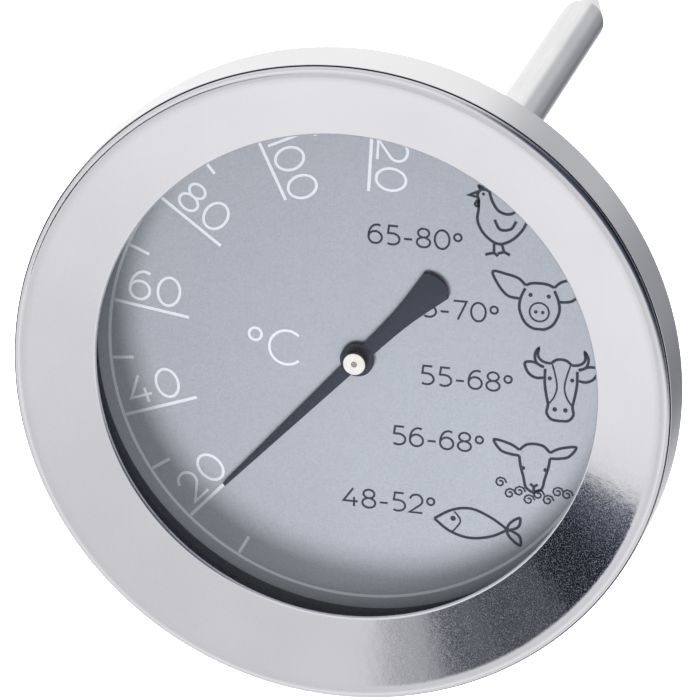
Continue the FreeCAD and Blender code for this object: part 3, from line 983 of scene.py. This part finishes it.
def card_shade(new, link, ray, card):
    """What one card multiplies the studio by: 1 away from it, less where it stands."""
    bearing, elevation, radius, soft, strength = card
    facing = new("ShaderNodeVectorMath")
    facing.operation = "DOT_PRODUCT"
    link(ray, facing.inputs[0])
    facing.inputs[1].default_value = direction(bearing, elevation)
    mask = new("ShaderNodeMapRange")
    mask.interpolation_type = "SMOOTHSTEP"
    mask.inputs["From Min"].default_value = math.cos(math.radians(radius + soft))
    mask.inputs["From Max"].default_value = math.cos(math.radians(radius - soft))
    link(facing.outputs["Value"], mask.inputs["Value"])
    shade = new("ShaderNodeVectorMath")
    shade.operation = "MULTIPLY_ADD"
    link(mask.outputs["Result"], shade.inputs[0])
    shade.inputs[1].default_value = [-strength * part for part in CARD_TINT]
    shade.inputs[2].default_value = (1, 1, 1)
    return shade.outputs[0]


def make_world():
    """White studio: brighter low down, dimmer overhead, with dark cards for the steel to mirror."""
    world = bpy.data.worlds.new("studio")
    bpy.context.scene.world = world
    world.use_nodes = True
    tree = world.node_tree
    tree.nodes.clear()
    new = tree.nodes.new
    link = tree.links.new
    ray = new("ShaderNodeTexCoord").outputs["Generated"]
    light = studio_levels(new, link, ray)
    for card in CARDS:
        product = new("ShaderNodeVectorMath")
        product.operation = "MULTIPLY"
        link(light, product.inputs[0])
        link(card_shade(new, link, ray, card), product.inputs[1])
        light = product.outputs[0]
    studio = new("ShaderNodeBackground")
    link(light, studio.inputs["Color"])
    path = new("ShaderNodeLightPath")
    softer = new("ShaderNodeMapRange")
    softer.inputs["To Min"].default_value = 1.0
    softer.inputs["To Max"].default_value = AMBIENT
    link(path.outputs["Is Diffuse Ray"], softer.inputs["Value"])
    link(softer.outputs["Result"], studio.inputs["Strength"])
    plain = new("ShaderNodeBackground")
    plain.inputs["Color"].default_value = (1, 1, 1, 1)
    plain.inputs["Strength"].default_value = 1.0
    mix = new("ShaderNodeMixShader")
    link(path.outputs["Is Camera Ray"], mix.inputs["Fac"])
    link(studio.outputs[0], mix.inputs[1])
    link(plain.outputs[0], mix.inputs[2])
    output = new("ShaderNodeOutputWorld")
    link(mix.outputs[0], output.inputs["Surface"])


def make_key_light(bearing, elevation, strength, soft_degrees):
    data = bpy.data.lights.new("key", "SUN")
    data.energy = strength
    data.angle = math.radians(soft_degrees)
    lamp = bpy.data.objects.new("key", data)
    lamp.rotation_mode = "QUATERNION"
    lamp.rotation_quaternion = direction(bearing, elevation).to_track_quat("Z", "Y")
    lamp.visible_glossy = False
    lamp.visible_transmission = False
    bpy.context.scene.collection.objects.link(lamp)


def make_fill_light(bearing, elevation, distance, size, power):
    """Broad lamp close by, which brightens its side of the dial a little."""
    data = bpy.data.lights.new("fill", "AREA")
    data.shape = "DISK"
    data.size = size
    data.energy = power
    lamp = bpy.data.objects.new("fill", data)
    toward = direction(bearing, elevation)
    lamp.location = Vector((0, 0, DIAL_TOP)) * MM + toward * distance
    lamp.rotation_mode = "QUATERNION"
    lamp.rotation_quaternion = toward.to_track_quat("Z", "Y")
    lamp.visible_camera = False
    lamp.visible_glossy = False
    lamp.visible_transmission = False
    bpy.context.scene.collection.objects.link(lamp)


def make_floor():
    """Pale floor under the tip, evenly lit, which only the camera sees."""
    half = FLOOR_HALF
    z = CAD_BOX[0].z - FLOOR_GAP
    mesh = bpy.data.meshes.new("floor")
    mesh.from_pydata([(-half, -half, z), (half, -half, z), (half, half, z), (-half, half, z)],
                     [], [(0, 1, 2, 3)])
    paint = Paint("floor_paint")
    paint.set(Base_Color=(0.8, 0.8, 0.8, 1), Roughness=0.9, Emission_Color=(1, 1, 1, 1),
              Emission_Strength=1.0)
    mesh.materials.append(paint.material)
    floor = bpy.data.objects.new("floor", mesh)
    bpy.context.scene.collection.objects.link(floor)
    floor.visible_diffuse = False
    floor.visible_glossy = False
    floor.visible_transmission = False
    floor.visible_shadow = False


def make_camera():
    data = bpy.data.cameras.new("camera")
    data.sensor_width = SENSOR
    data.lens = CAMERA_LENS
    data.clip_start, data.clip_end = CAMERA_CLIP
    back = direction(CAMERA_BEARING, 90 - CAMERA_TILT)
    level = (Vector((1, 0, 0)) - back * back.x).normalized()
    right = Matrix.Rotation(math.radians(CAMERA_ROLL), 3, back) @ level
    up = back.cross(right)
    camera = bpy.data.objects.new("camera", data)
    axes = Matrix((right, up, back)).transposed().to_4x4()
    aim = Vector(CAMERA_AIM) * MM
    camera.matrix_world = Matrix.Translation(aim + back * CAMERA_DISTANCE * MM) @ axes
    bpy.context.scene.collection.objects.link(camera)
    bpy.context.scene.camera = camera


def main():
    make_camera()
    make_floor()
    make_world()
    make_key_light(*KEY_LIGHT)
    make_fill_light(*FILL_LIGHT)
    make_bezel()
    make_case()
    make_dial_side()
    make_prints()
    make_pointer()
    make_hub()
    make_stem()
    finish_hidden_nodes()
    bpy.context.scene.view_settings.view_transform = "Standard"


main()
